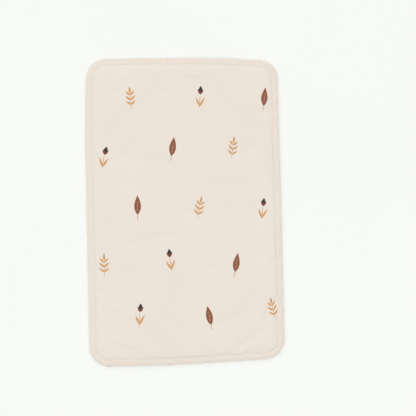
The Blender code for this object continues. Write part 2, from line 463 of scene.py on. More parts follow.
class Section:
    """The outer face of a panel in section: insets, heights and flat distances from the stitch channel."""

    def __init__(self, insets, heights, channel_at, fine_end):
        self.insets = np.array(insets)
        self.heights = np.array(heights)
        self.fine_end = fine_end
        steps = np.hypot(np.diff(self.insets), np.diff(self.heights))
        far = np.concatenate(((0,), np.cumsum(steps)))
        self.walk = far - far[channel_at]

    def flat_inset(self, sizes):
        """Where each point lay in the flat cut, as an inset."""
        return sizes.rim + self.walk


FOLD_END = math.radians(160)
HEM_ROWS = 5
FOLD_ROWS = 8
ROLL_ROWS = 8


def turned_edge(sizes, hem, crest, crest_inset):
    """The turned hem, its fold and the roll up or down to the rim's crest."""
    lift = 1 if crest > hem else -1
    insets = list(np.linspace(sizes.hem_end, sizes.fold, HEM_ROWS))
    heights = [hem] * HEM_ROWS
    turns = FOLD_END * np.arange(1, FOLD_ROWS + 1) / FOLD_ROWS
    insets += list(sizes.fold * (1 - np.sin(turns)))
    heights += list(hem + lift * sizes.fold * (1 - np.cos(turns)))
    run, rise = crest_inset - insets[-1], crest - heights[-1]
    power = math.tan(math.pi - FOLD_END) * run / abs(rise)
    share = np.arange(1, ROLL_ROWS + 1) / ROLL_ROWS
    heights += list(heights[-1] + rise * (1 - (1 - share) ** power))
    insets += list(insets[-1] + run * share)
    return insets, heights


CHANNEL_STEPS = (-0.00035, 0.0, 0.00035)
CHANNEL_DROP = 0.0001
FALL_ROWS = 5
FALL_POWER = 1.15
FACE_STEPS = (0.0008, 0.0014, 0.0022, 0.0032, 0.0045, 0.0062, 0.0085, 0.0115, 0.0150, 0.0185)
FINE_FACE_STEPS = 6


def top_section(sizes):
    """The top panel from its turned hem over the rim, through the channel and up the face."""
    insets, heights = turned_edge(sizes, sizes.upper_hem, sizes.rim_height, sizes.rim_crest)
    channel_side = sizes.rim - sizes.topstitch - CLEARANCE
    share = np.arange(1, FALL_ROWS + 1) / FALL_ROWS
    insets += list(sizes.rim_crest + (channel_side - sizes.rim_crest) * share)
    fall = np.cos(share * math.pi / 2) ** FALL_POWER
    heights += list(sizes.channel + (sizes.rim_height - sizes.channel) * fall)
    channel_at = len(insets) + 1
    insets += [sizes.rim + step for step in CHANNEL_STEPS + FACE_STEPS] + [RING_END]
    heights += [sizes.channel - CHANNEL_DROP * (step == 0) for step in CHANNEL_STEPS]
    heights += list(crown_at(sizes, np.array(insets[len(heights) :])))
    return Section(insets, heights, channel_at, channel_at + 2 + FINE_FACE_STEPS)


UNDER_FACE_STEPS = (0.0008, 0.0014, 0.0020, 0.0026, 0.0034, 0.0060, 0.0120)
UNDER_RIM_STEPS = 5
UNDER_FINE_STEPS = 4
UNDER_FLAT_START = 0.006
UNDER_CHANNEL_RUN = 0.0028


def under_section(sizes):
    """The underside panel from its turned hem round the rim, through the channel and along the floor."""
    insets, heights = turned_edge(sizes, sizes.lower_hem, 0.0, sizes.under_rim)
    before = [UNDER_FLAT_START] + [sizes.rim - step for step in reversed(UNDER_FACE_STEPS[:UNDER_RIM_STEPS])]
    after = [sizes.rim + step for step in CHANNEL_STEPS + UNDER_FACE_STEPS] + [RING_END]
    channel_at = len(insets) + len(before) + 1
    run = np.array(before + after)
    past = np.maximum(np.abs(run - sizes.rim) - CHANNEL_STEPS[-1], 0)
    insets += list(run)
    heights += list(sizes.under_channel * (1 - smooth_step(0, UNDER_CHANNEL_RUN, past)))
    return Section(insets, heights, channel_at, channel_at + 2 + UNDER_FINE_STEPS)


RIM_PULL = 0.013
FOOT_PULL = 0.011
FOOT_START = 0.0025
FOOT_HEIGHT = 1.15
FOOT_FADE = (0.009, 0.0215)
FADE_SHARE = 0.35
PUCKER_LENGTHS = (0.034, 0.075)
PUCKER_SEED = 5
GATHER_LENGTHS = (0.010, 0.017)
GATHER_SEED = 8
TOP_DIMPLE_RUN = 0.0022
UNDER_DIMPLE_RUN = 0.0020

# Share of the puckers' height on the right, left, head and foot sides
PUCKER_SHARES = (1.0, 0.5, 0.6, 0.4)


def side_share(plan):
    """How strongly the stitching puckers at each column, by the side that it faces."""
    right, left, head, foot = PUCKER_SHARES
    x, y = plan.normal.T
    return x**2 * np.where(x > 0, right, left) + y**2 * np.where(y > 0, head, foot)


def pucker_relief(sizes, lay, walk, plan):
    """Puckers along the topstitching and gathers round the corners, by distance from it and column."""
    perimeter = 2 * (sizes.width + sizes.length)
    puckers = lay.pucker * ripple_round(plan.round, *PUCKER_LENGTHS, perimeter, PUCKER_SEED)
    puckers *= side_share(plan)
    gathers = lay.gather * ripple_round(plan.round, *GATHER_LENGTHS, perimeter, GATHER_SEED)
    gathers *= smooth_step(0.0, FADE_SHARE, plan.turned)
    back = np.clip(-walk / RIM_PULL, 0, 1)
    rim = np.sin(back * math.pi) * smooth_step(0.0, FADE_SHARE, back)
    rim *= smooth_step(0.0, FADE_SHARE, 1 - back)
    past = np.maximum(walk, 0)
    foot = FOOT_HEIGHT * np.exp(-past / FOOT_PULL) * (1 - np.exp(-past / FOOT_START))
    foot *= 1 - smooth_step(*FOOT_FADE, past)
    return (rim + foot)[:, None] * (puckers + gathers)


def dimples_at(lay, section, plan, run):
    """How far each stitch end pulls the cloth in, by row and column."""
    near = np.exp(-np.abs(section.walk) / run)
    return lay.dimple * near[:, None] * np.cos(2 * math.pi * plan.phase)


def between_columns(coarse):
    """Double a closed run of columns, with smooth values between them."""
    beside = np.roll(coarse, -1, 1)
    outer = np.roll(coarse, 1, 1) + np.roll(coarse, -2, 1)
    middle = (9 * (coarse + beside) - outer) / 16
    return np.stack((coarse, middle), 2).reshape(coarse.shape[0], -1, coarse.shape[2])


class Panel:
    """A sewn panel without its thickness: coarse rings, finer ones for its edge, and the grid within."""

    def __init__(self, sizes, section):
        self.sizes = sizes
        self.section = section
        self.coarse = Plan(sizes, 1)
        self.fine = Plan(sizes, CLOTH_COLUMNS)
        self.rings = rings_at(self.coarse, section.insets, section.heights)
        self.edge = rings_at(self.fine, section.insets, section.heights)
        self.inner = at_height(grid_within(self.coarse.ring(RING_END)), 0.0)
        plain = grid_within(self.coarse.ring(RING_END, bowed=False))
        self.inner_inset = self.coarse.inset_of(plain, RING_END)


def new_mesh(name, points, faces, flat=None, shade=None):
    """A smooth mesh from points and lists of faces, with the flat cut as its map and, if given, its painted
    shade.
    """
    mesh = bpy.data.meshes.new(name)
    mesh.from_pydata(points.tolist(), [], [face for part in faces for face in part.tolist()])
    if flat is not None:
        corners = np.zeros(len(mesh.loops), np.int32)
        mesh.loops.foreach_get("vertex_index", corners)
        layer = mesh.uv_layers.new(name=FLAT_MAP)
        layer.uv.foreach_set("vector", flat[corners].astype(np.float32).ravel())
    if shade is not None:
        attribute = mesh.attributes.new(SEAM_SHADE, "FLOAT", "POINT")
        attribute.data.foreach_set("value", shade.astype(np.float32))
    mesh.validate()
    mesh.shade_smooth()
    return mesh


def put_object(name, mesh):
    """Put a mesh into the scene under its name, in place of an older one."""
    old = bpy.data.objects.get(name)
    if old is not None:
        bpy.data.objects.remove(old, do_unlink=True)
    piece = bpy.data.objects.new(name, mesh)
    bpy.context.scene.collection.objects.link(piece)
    return piece


def apply_modifiers(piece):
    """Turn a piece's modifiers into its mesh."""
    bpy.context.view_layer.update()
    graph = bpy.context.evaluated_depsgraph_get()
    result = piece.evaluated_get(graph)
    made = bpy.data.meshes.new_from_object(result, preserve_all_data_layers=True, depsgraph=graph)
    made.name = piece.name
    piece.modifiers.clear()
    old = piece.data
    piece.data = made
    bpy.data.meshes.remove(old)


CLOTH_SHARP = math.radians(55)
FOAM_SHARP = math.radians(50)


def give_thickness(piece, thickness):
    """Give a single layer of cloth its thickness, inwards from the face that shows."""
    shell = piece.modifiers.new("thickness", "SOLIDIFY")
    shell.thickness = thickness
    shell.offset = -1.0
    shell.use_even_offset = True
    shell.use_rim = True
    apply_modifiers(piece)
    piece.data.shade_smooth()
    piece.data.set_sharp_from_angle(angle=CLOTH_SHARP)


def register_piece(piece, node, material):
    """Give a finished piece its material, put it under the body's empty and hide the CAD node that it stands
    for.
    """
    piece.data.materials.clear()
    piece.data.materials.append(material)
    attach(piece, BODY)
    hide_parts(node)


def cut_area(sizes, section):
    """Width, length and area of a panel's flat cut, with its rounded corners."""
    out = -section.flat_inset(sizes)[0]
    width, length = sizes.width + 2 * out, sizes.length + 2 * out
    radius = sizes.corner_radius + out
    return width, length, width * length - (4 - math.pi) * radius**2


# Painted shade, kept in the seam_shade attribute: a little along the stitch channel, and more down the rim's
# outer slope towards the edge
STITCH_SHADE = 0.1
STITCH_SHADE_RUN = 0.0016
RIM_SHADE_RUN = 0.004


def panel_mesh(name, panel, rings_fine, rings_coarse, inner, facing_up):
    """Join a panel's fine edge, its coarser foot and its grid into one mesh with its flat map and its
    painted shade.
    """
    section = panel.section
    fine_count, coarse_count = panel.fine.count, panel.coarse.count
    fine_rows = section.fine_end
    coarse_rows = len(section.insets) - fine_rows
    parts = (rings_fine[:fine_rows], rings_coarse[fine_rows:], inner[1:-1, 1:-1])
    points = np.concatenate([part.reshape(-1, 3) for part in parts])
    flat_insets = section.flat_inset(panel.sizes)
    flat = [panel.fine.ring(inset) for inset in flat_insets[:fine_rows]]
    flat += [panel.coarse.ring(inset) for inset in flat_insets[fine_rows:]]
    flat.append(grid_within(panel.coarse.ring(flat_insets[-1]))[1:-1, 1:-1].reshape(-1, 2))
    # Painted shade: a little along the stitch channel, rising down the rim towards the edge
    near = STITCH_SHADE * np.exp(-((section.walk / STITCH_SHADE_RUN) ** 2))
    near += np.where(section.walk < 0, 1 - np.exp(section.walk / RIM_SHADE_RUN), 0)
    edge_shade = np.repeat(near, np.repeat((fine_count, coarse_count), (fine_rows, coarse_rows)))
    shade = np.zeros(len(points))
    shade[: len(edge_shade)] = edge_shade
    faces = stack_faces(0, fine_rows, fine_count)
    first_coarse = fine_rows * fine_count
    faces.append(step_faces(first_coarse - fine_count, first_coarse, coarse_count))
    faces += stack_faces(first_coarse, coarse_rows, coarse_count)
    last_ring = first_coarse + (coarse_rows - 1) * coarse_count
    faces.append(grid_faces(grid_numbers(last_ring, last_ring + coarse_count)))
    if not facing_up:
        faces = [part[:, ::-1] for part in faces]
    return new_mesh(name, points, faces, np.concatenate(flat), shade)


# How firmly the cloth is held while it settles, by distance from the stitch channel
CHANNEL_HELD = 0.0012
FALL_HELD = 0.0028
FALL_HOLD = 0.4
FOOT_HOLD = 0.06
FACE_HOLD = 0.12
FACE_HOLD_RISE = (0.004, 0.020)


def hold_of(section):
    """How firmly each row of rings is held while the cloth settles, from 0 to 1."""
    walk = section.walk
    held = np.ones(len(walk))
    held[(np.arange(len(walk)) > HEM_ROWS + FOLD_ROWS) & (np.abs(walk) > CHANNEL_HELD)] = 0.0
    face = FOOT_HOLD + (FACE_HOLD - FOOT_HOLD) * smooth_step(*FACE_HOLD_RISE, walk)
    held = np.where(walk > CHANNEL_HELD, face, held)
    return np.where((walk < 0) & (walk > -FALL_HELD), np.maximum(held, FALL_HOLD), held)


SETTLE_FRAMES = 20
SETTLE_WITH = {
    "quality": 6,
    "mass": 0.02,
    "tension_stiffness": 20,
    "compression_stiffness": 20,
    "shear_stiffness": 8,
    "bending_stiffness": 40,
    "vertex_group_mass": "held",
    "use_pressure": True,
}
MOST_SINK = 0.00025
SLIDE_RISE = (0.0015, 0.0060)
LEAST_MOVE = 1e-9


def settled_cloth(panel, lay):
    """Let the single layer settle over its filling, and return how far its rings and grid moved."""
    rows, count = panel.rings.shape[:2]
    points = np.concatenate((panel.rings.reshape(-1, 3), panel.inner[1:-1, 1:-1].reshape(-1, 3)))
    faces = stack_faces(0, rows, count)
    last_ring = (rows - 1) * count
    faces.append(grid_faces(grid_numbers(last_ring, last_ring + count)))
    trial = put_object("settling_cloth", new_mesh("settling_cloth", points, faces))
    held = np.repeat(hold_of(panel.section), count)
    weights = np.concatenate((held, np.full(len(points) - len(held), FACE_HOLD)))
    group = trial.vertex_groups.new(name="held")
    for weight in np.unique(weights[weights > 0]):
        group.add(np.flatnonzero(weights == weight).tolist(), float(weight), "REPLACE")
    cloth = trial.modifiers.new("cloth", "CLOTH")
    for name, value in SETTLE_WITH.items():
        setattr(cloth.settings, name, value)
    cloth.settings.shrink_min = -lay.ease
    cloth.settings.uniform_pressure_force = lay.pressure
    cloth.settings.effector_weights.gravity = 0.0
    cloth.collision_settings.use_collision = False
    cloth.collision_settings.use_self_collision = False
    cloth.point_cache.frame_start = 1
    cloth.point_cache.frame_end = SETTLE_FRAMES
    scene = bpy.context.scene
    for step in range(1, SETTLE_FRAMES + 1):
        scene.frame_set(step)
    result = trial.evaluated_get(bpy.context.evaluated_depsgraph_get())
    moved = np.zeros(len(points) * 3, np.float32)
    result.to_mesh().vertices.foreach_get("co", moved)
    result.to_mesh_clear()
    scene.frame_set(1)
    bpy.data.objects.remove(trial, do_unlink=True)
    shift = moved.reshape(-1, 3).astype(float) - points
    far = np.linalg.norm(shift, axis=1, keepdims=True)
    shift *= np.minimum(1.0, lay.most_move / np.maximum(far, LEAST_MOVE))
    shift[:, 2] = np.maximum(shift[:, 2], -MOST_SINK)
    ring_shift = shift[: rows * count].reshape(rows, count, 3)
    ring_shift[..., :2] *= smooth_step(*SLIDE_RISE, np.abs(panel.section.walk))[:, None, None]
    inner_shift = np.zeros_like(panel.inner)
    inner_shift[1:-1, 1:-1] = shift[rows * count :].reshape(panel.inner.shape[0] - 2, -1, 3)
    return ring_shift, inner_shift


def sew_cover(panel, lay, name, node, material, facing_up):
    """Lay a panel down and make it a sheet of cloth that stands for its CAD node."""
    sizes = panel.sizes
    fine, coarse, inner = (lay_down(sizes, lay, part) for part in (panel.edge, panel.rings, panel.inner))
    piece = put_object(name, panel_mesh(name, panel, fine, coarse, inner, facing_up))
    give_thickness(piece, sizes.cloth)
    register_piece(piece, node, material)
    width, length, area = cut_area(sizes, panel.section)


class CHANGING_MAT_OT_top_cover(bpy.types.Operator):
    """Sew the printed top panel, with its turned hem, puffed rim, stitch channel and crown"""

    bl_idname = "changing_mat.top_cover"
    bl_label = "Top cover"

    def execute(self, context):
        sizes, lay = context.scene.mat_sizes, context.scene.mat_lay
        section = top_section(sizes)
        panel = Panel(sizes, section)
        inner, inset = panel.inner, panel.inner_inset
        inner[..., 2] = settled_crown(sizes, inset)
        inner[..., 2] += face_relief(sizes, lay, inner[..., :2], inset)
        for rings in (panel.rings, panel.edge):
            rings[..., 2] += face_relief(sizes, lay, rings[..., :2], section.insets[:, None])
        ring_shift, inner_shift = settled_cloth(panel, lay)
        panel.rings += ring_shift
        panel.edge += between_columns(ring_shift)
        panel.inner += inner_shift
        for rings, plan in ((panel.rings, panel.coarse), (panel.edge, panel.fine)):
            relief = pucker_relief(sizes, lay, section.walk, plan)
            rings[..., 2] += relief - dimples_at(lay, section, plan, TOP_DIMPLE_RUN)
        colours = context.scene.mat_colours
        inks = {ink: getattr(colours, ink) for ink in INKS}
        material = coated_cloth("printed_coated_cloth", tuple(colours.cloth), inks)
        sew_cover(panel, lay, "top_cover_cloth", "top_cover", material, facing_up=True)
        return {"FINISHED"}


class CHANGING_MAT_OT_underside_cover(bpy.types.Operator):
    """Sew the plain underside panel, with its turned hem, rim and stitch channel"""

    bl_idname = "changing_mat.underside_cover"
    bl_label = "Underside cover"

    def execute(self, context):
        sizes, lay = context.scene.mat_sizes, context.scene.mat_lay
        panel = Panel(sizes, under_section(sizes))
        panel.edge[..., 2] += dimples_at(lay, panel.section, panel.fine, UNDER_DIMPLE_RUN)
        material = coated_cloth("plain_coated_cloth", tuple(context.scene.mat_colours.underside), None)
        sew_cover(
            panel, lay, "underside_cover_cloth", "underside_cover", material, facing_up=False
        )
        return {"FINISHED"}


FOAM_DROP = 0.00135
FOAM_UPPER_EDGE = ((0.0, 0.0051), (0.0008, 0.0050), (0.0016, 0.0046), (0.0024, 0.0045), (0.0031, 0.0046))
FOAM_LOWER_EDGE = ((0.0, 0.0012), (0.0015, 0.0021), (0.0033, 0.0021), (0.0057, 0.0009), (0.0090, 0.0009))
FOAM_FOOT_STEPS = (0.0022, 0.0040, 0.0065, 0.0100, 0.0150)


class CHANGING_MAT_OT_foam_sheet(bpy.types.Operator):
    """Cut the foam sheet, pressed thin at the stitch line"""

    bl_idname = "changing_mat.foam_sheet"
    bl_label = "Foam sheet"

    def execute(self, context):
        sizes, lay = context.scene.mat_sizes, context.scene.mat_lay
        plan = Plan(sizes, 1)
        edge = sizes.hem_end + CLEARANCE
        upper = [(edge + step, height) for step, height in FOAM_UPPER_EDGE]
        for inset in [sizes.rim + step for step in FOAM_FOOT_STEPS] + [RING_END]:
            upper.append((inset, float(crown_at(sizes, inset)) - FOAM_DROP))
        lower = [(edge + step, height) for step, height in FOAM_LOWER_EDGE]
        lower.append((RING_END, lower[-1][1]))
        insets, heights = np.array(upper[::-1] + lower).T
        rings = rings_at(plan, insets, heights)
        relief = face_relief(sizes, lay, rings[..., :2], insets[:, None])
        relief += pucker_relief(sizes, lay, insets - sizes.rim, plan)
        rings[: len(upper), :, 2] += relief[: len(upper)]
        places = grid_within(plan.ring(RING_END))
        depth = plan.inset_of(grid_within(plan.ring(RING_END, bowed=False)), RING_END)
        top = settled_crown(sizes, depth) - FOAM_DROP + face_relief(sizes, lay, places, depth)
        inner = [at_height(places, height)[1:-1, 1:-1].reshape(-1, 3) for height in (top, heights[-1])]
        points = lay_down(sizes, lay, np.concatenate([rings.reshape(-1, 3)] + inner))
        count, last = plan.count, (len(insets) - 1) * plan.count
        faces = [part[:, ::-1] for part in stack_faces(0, len(insets), count)]
        faces.append(grid_faces(grid_numbers(0, last + count)))
        faces.append(grid_faces(grid_numbers(last, last + count + len(inner[0])))[:, ::-1])
        piece = put_object("foam_sheet", new_mesh("foam_sheet", points, faces))
        piece.data.set_sharp_from_angle(angle=FOAM_SHARP)
        register_piece(piece, "foam_core", foam_material(context.scene.mat_colours))
        return {"FINISHED"}


def tube(name, line, radius, pitch):
    """A closed tube along a closed line of points, mapped by length along it and round it."""
    ahead = np.roll(line, -1, 0) - np.roll(line, 1, 0)
    ahead /= np.linalg.norm(ahead, axis=1, keepdims=True)
    aside = np.cross(ahead, (0.0, 0.0, 1.0))
    aside /= np.linalg.norm(aside, axis=1, keepdims=True)
    above = np.cross(aside, ahead)
    points = []
    for side in range(THREAD_SIDES):
        angle = 2 * math.pi * side / THREAD_SIDES
        points.append(line + radius * (math.cos(angle) * aside + math.sin(angle) * above))
    count = len(line)
    here = np.arange(count)
    along = np.stack((here, here + 1, here + 1, here), 1) * pitch
    faces, flat = [], []
    for side in range(THREAD_SIDES):
        faces.append(band_faces(side * count, (side + 1) % THREAD_SIDES * count, count))
        around = np.broadcast_to(np.array((side, side, side + 1, side + 1)) / THREAD_SIDES, along.shape)
        flat.append(np.stack((along, around), -1).reshape(-1, 2))
    mesh = new_mesh(name, np.concatenate(points), faces)
    layer = mesh.uv_layers.new(name=FLAT_MAP)
    layer.uv.foreach_set("vector", np.concatenate(flat).astype(np.float32).ravel())
    return mesh


# How far a stitch arches over the cloth, and how far its ends dip into it
TOPSTITCH_FORM = (0.00026, 0.0010)
SEAM_FORM = (0.00025, 0.0001)
STITCH_SQUARENESS = 4


def stitch_line(sizes, lay, plan, inset, height, up, arch, dip):
    """The line of a thread that floats over each stitch and dips into the cloth at its ends."""
    over = 1 - np.abs(2 * plan.phase - 1) ** STITCH_SQUARENESS
    rise = up * (over * (arch + dip) - dip)
    return lay_down(sizes, lay, at_height(plan.ring(inset), height + rise))


def sew_row(context, row, columns, inset, radius, heights, form):
    """Sew a row of lockstitches: its needle thread above and its bobbin thread below."""
    sizes, lay = context.scene.mat_sizes, context.scene.mat_lay
    plan = Plan(sizes, columns)
    pitch = 2 * (sizes.width + sizes.length) / plan.count
    material = thread_material(context.scene.mat_colours)
    for thread, height, up in zip(("needle", "bobbin"), heights, (1, -1)):
        line = stitch_line(sizes, lay, plan, inset, height, up, *form)
        name = f"{row}_{thread}_stitches"
        piece = put_object(name, tube(name, line, radius, pitch))
        register_piece(piece, f"{row}_{thread}_thread", material)


class CHANGING_MAT_OT_topstitching(bpy.types.Operator):
    """Sew the row of topstitching: needle thread above, bobbin thread below"""

    bl_idname = "changing_mat.topstitching"
    bl_label = "Topstitching"

    def execute(self, context):
        sizes = context.scene.mat_sizes
        heights = (sizes.channel, sizes.under_channel)
        sew_row(context, "topstitch", THREAD_COLUMNS, sizes.rim, sizes.topstitch, heights, TOPSTITCH_FORM)
        return {"FINISHED"}


class CHANGING_MAT_OT_hidden_seam(bpy.types.Operator):
    """Sew the hidden seam that joins the turned hems: needle thread above, bobbin thread below"""

    bl_idname = "changing_mat.hidden_seam"
    bl_label = "Hidden seam"

    def execute(self, context):
        sizes = context.scene.mat_sizes
        upper = sizes.upper_hem + sizes.cloth + sizes.seam
        lower = sizes.lower_hem - sizes.cloth - sizes.seam
        sew_row(context, "seam", SEAM_COLUMNS, sizes.seam_inset, sizes.seam, (upper, lower), SEAM_FORM)
        return {"FINISHED"}


class NodeDesk:
    """Adds nodes to a tree and joins them."""

    def __init__(self, tree):
        self.tree = tree

    def fill(self, node, sockets):
        """Give a node's sockets their values, or join them to other nodes' sockets."""
        for name, value in sockets.items():
            if isinstance(value, bpy.types.NodeSocket):
                self.tree.links.new(value, node.inputs[name])
            else:
                node.inputs[name].default_value = value

    def add(self, kind, sockets=None, **settings):
        """A node with its settings and filled sockets."""
        node = self.tree.nodes.new(kind)
        for name, value in settings.items():
            setattr(node, name, value)
        self.fill(node, sockets or {})
        return node

    def math(self, operation, first, second=0.0, clamp=False):
        """The result of a sum."""
        sockets = {0: first, 1: second}
        return self.add("ShaderNodeMath", sockets, operation=operation, use_clamp=clamp).outputs[0]

    def vector(self, operation, first, second):
        """The result of a sum of two vectors."""
        return self.add("ShaderNodeVectorMath", {0: first, 1: second}, operation=operation).outputs[0]

    def turned(self, vector, angle):
        """A vector turned about the upright axis."""
        sockets = {"Vector": vector, "Angle": angle}
        return self.add("ShaderNodeVectorRotate", sockets, rotation_type="Z_AXIS").outputs[0]

    def joined(self, x, y):
        """A vector of two numbers."""
        return self.add("ShaderNodeCombineXYZ", {"X": x, "Y": y}).outputs[0]

    def split(self, vector):
        """The numbers of a vector."""
        return self.add("ShaderNodeSeparateXYZ", {"Vector": vector}).outputs

    def ramp(self, value, low, high, least=0.0, most=1.0):
        """A value between two bounds made into another, kept within it."""
        sockets = {"Value": value, "From Min": low, "From Max": high, "To Min": least, "To Max": most}
        return self.add("ShaderNodeMapRange", sockets, clamp=True).outputs["Result"]

    def mix(self, share, first, second):
        """A colour between two colours."""
        return self.add("ShaderNodeMix", {0: share, 6: first, 7: second}, data_type="RGBA").outputs[2]

    def noise(self, place, scale, detail=2.0, output="Fac"):
        """A soft noise between about 0 and 1."""
        sockets = {"Vector": place, "Scale": scale, "Detail": detail}
        return self.add("ShaderNodeTexNoise", sockets).outputs[output]

    def cells(self, place, scale, feature="F1"):
        """How far each place is from the middle of its cell."""
        sockets = {"Vector": place, "Scale": scale}
        return self.add("ShaderNodeTexVoronoi", sockets, feature=feature).outputs["Distance"]

    def bump(self, height, strength, distance):
        """A normal that stands for a fine relief."""
        sockets = {"Height": height, "Strength": strength, "Distance": distance}
        return self.add("ShaderNodeBump", sockets).outputs["Normal"]

    def flat_map(self):
        """Places in the flat cut, or along and round a thread."""
        return self.add("ShaderNodeUVMap", uv_map=FLAT_MAP).outputs["UV"]


def new_material(name):
    """A node material with a principled shader, new or emptied, as its desk, shader and material."""
    material = bpy.data.materials.get(name) or bpy.data.materials.new(name)
    material.use_nodes = True
    desk = NodeDesk(material.node_tree)
    desk.tree.nodes.clear()
    shader = desk.add("ShaderNodeBsdfPrincipled")
    desk.add("ShaderNodeOutputMaterial", {"Surface": shader.outputs["BSDF"]})
    return desk, shader, material


def new_group(name, numbers, masks):
    """A node group that makes masks from a place and some numbers, as its desk and its inner ends."""
    old = bpy.data.node_groups.get(name)
    if old is not None:
        bpy.data.node_groups.remove(old)
    tree = bpy.data.node_groups.new(name, "ShaderNodeTree")
    tree.interface.new_socket("Place", in_out="INPUT", socket_type="NodeSocketVector")
    for labels, end in ((numbers, "INPUT"), (masks, "OUTPUT")):
        for label in labels:
            tree.interface.new_socket(label, in_out=end, socket_type="NodeSocketFloat")
    return NodeDesk(tree), tree.nodes.new("NodeGroupInput").outputs, tree.nodes.new("NodeGroupOutput")


INK_EDGE = 0.00035
LEAF_POWER = 0.8
LEAF_SIZES = ("Foot X", "Foot Y", "Length", "Half width")


def leaf_group():
    """A group that masks one leaf: its foot, turn, length and half width."""
    desk, given, made = new_group("print_leaf", (*LEAF_SIZES, "Turn"), ("Mask",))
    away = desk.vector("SUBTRACT", given["Place"], desk.joined(given["Foot X"], given["Foot Y"]))
    back = desk.math("MULTIPLY", given["Turn"], -1.0)
    along, aside = desk.split(desk.turned(away, back))[:2]
    share = desk.math("DIVIDE", along, given["Length"], clamp=True)
    share = desk.math("POWER", share, LEAF_POWER)
    belly = desk.math("SINE", desk.math("MULTIPLY", share, math.pi))
    half = desk.math("MULTIPLY", belly, given["Half width"])
    within = desk.math("SUBTRACT", half, desk.math("ABSOLUTE", aside))
    desk.fill(made, {"Mask": desk.ramp(within, 0.0, INK_EDGE)})
    return desk.tree


# Leaves of each print motif by ink: foot, turn in degrees, length and half width, in millimetres
SPRIG = {
    "tan": (
        (0, -25, 90, 40, 0.8),
        (0, 9, 90, 15, 2.3),
        (0, 5, 47, 13, 2.0),
        (0, 5, 133, 13, 2.0),
        (0, -4, 43, 14, 2.1),
        (0, -4, 137, 14, 2.1),
        (0, -13, 40, 13, 2.0),
        (0, -13, 140, 13, 2.0),
    ),
}
BUD = {
    "tan": ((0, -25, 90, 36, 0.9), (0, -21, 66, 24, 2.2), (0, -19, 116, 20, 2.0)),
    "night": ((0, 5, 90, 16, 4.4),),
    "brown": ((0, 4, 60, 12, 1.9), (0, 4, 120, 12, 1.9)),
}
BROAD_LEAF = {
    "tan": ((0, -26, 90, 18, 0.9),),
    "brown": ((0, -14, 90, 38, 6.6),),
    "vein": (
        (0, -13, 90, 33, 0.5),
        (0, -6, 52, 7.5, 0.35),
        (0, -6, 128, 7.5, 0.35),
        (0, 1, 50, 7.5, 0.35),
        (0, 1, 130, 7.5, 0.35),
        (0, 8, 48, 6, 0.3),
        (0, 8, 132, 6, 0.3),
    ),
}
MOTIFS = (SPRIG, BUD, BROAD_LEAF)
INKS = ("tan", "night", "brown", "vein")
MOTIF_SPACING = (0.128, 0.106)
MOTIF_START = (0.031, 0.047)
MOTIF_JITTER = 0.010
MOTIF_LEAN = 0.5


MILLIMETRE = 0.001


def print_group():
    """A group that masks the four inks of a sparse leaf print in staggered rows."""
    desk, given, made = new_group("leaf_print", (), INKS)
    leaf = leaf_group()
    across, along = desk.split(given["Place"])[:2]
    row_place = desk.math("DIVIDE", desk.math("ADD", along, MOTIF_START[1]), MOTIF_SPACING[1])
    row = desk.math("FLOOR", row_place)
    stagger = desk.math("MULTIPLY", desk.math("FLOORED_MODULO", row, 2.0), 0.5)
    column_place = desk.math("DIVIDE", desk.math("ADD", across, MOTIF_START[0]), MOTIF_SPACING[0])
    column_place = desk.math("ADD", column_place, stagger)
    column = desk.math("FLOOR", column_place)
    cell = desk.joined(column, row)
    draw = desk.add("ShaderNodeTexWhiteNoise", {"Vector": cell}, noise_dimensions="2D").outputs["Color"]
    draws = desk.split(draw)
    local = []
    for place, number, spacing, chance in (
        (column_place, column, MOTIF_SPACING[0], draws[0]),
        (row_place, row, MOTIF_SPACING[1], draws[1]),
    ):
        centred = desk.math("SUBTRACT", desk.math("SUBTRACT", place, number), 0.5)
        jitter = desk.math("MULTIPLY", desk.math("SUBTRACT", chance, 0.5), 2 * MOTIF_JITTER)
        local.append(desk.math("ADD", desk.math("MULTIPLY", centred, spacing), jitter))
    lean = desk.math("MULTIPLY", desk.math("SUBTRACT", draws[2], 0.5), MOTIF_LEAN)
    spot = desk.turned(desk.joined(*local), lean)
    kind = desk.math("ADD", column, desk.math("MULTIPLY", row, 2.0))
    kind = desk.math("FLOORED_MODULO", kind, float(len(MOTIFS)))
    totals = {ink: 0.0 for ink in INKS}
    for number, motif in enumerate(MOTIFS):
        chosen = desk.math("COMPARE", kind, float(number))
        for ink, leaves in motif.items():
            total = 0.0
            for foot_x, foot_y, turn, length, half_width in leaves:
                sizes = np.multiply((foot_x, foot_y, length, half_width), MILLIMETRE).tolist()
                sockets = dict(zip(LEAF_SIZES, sizes), Turn=math.radians(turn), Place=spot)
                mask = desk.add("ShaderNodeGroup", sockets, node_tree=leaf).outputs["Mask"]
                total = desk.math("MAXIMUM", mask, total)
            totals[ink] = desk.math("MAXIMUM", desk.math("MULTIPLY", total, chosen), totals[ink])
    desk.fill(made, totals)
    return desk.tree


def opaque(colour):
    """A colour with its fourth number."""
    return (*colour, 1.0)


def shaded(colour, by):
    """A colour made lighter or darker by a share."""
    return opaque(min(1.0, part * by) for part in colour)


# Bounds within which most of a soft noise lies
NOISE_SPREAD = (0.3, 0.7)
FIBRE_SPREAD = (0.2, 0.8)

TONE_SCALE = 9.0
GRAIN_SCALE = 900.0
PORE_SCALE = 2600.0
# Painted shade: how the cloth's colour darkens and warms along the stitch channel and down the rim, and how
# much
PAINTED_SHADE_TINT = (0.97, 0.94, 0.90)
PAINTED_SHADE_SHARE = 0.6
INK_DRIFT = 0.0009
INK_DRIFT_SCALE = 420.0
INK_WEAR_SCALE = 700.0
INK_COVER = (0.94, 0.995)


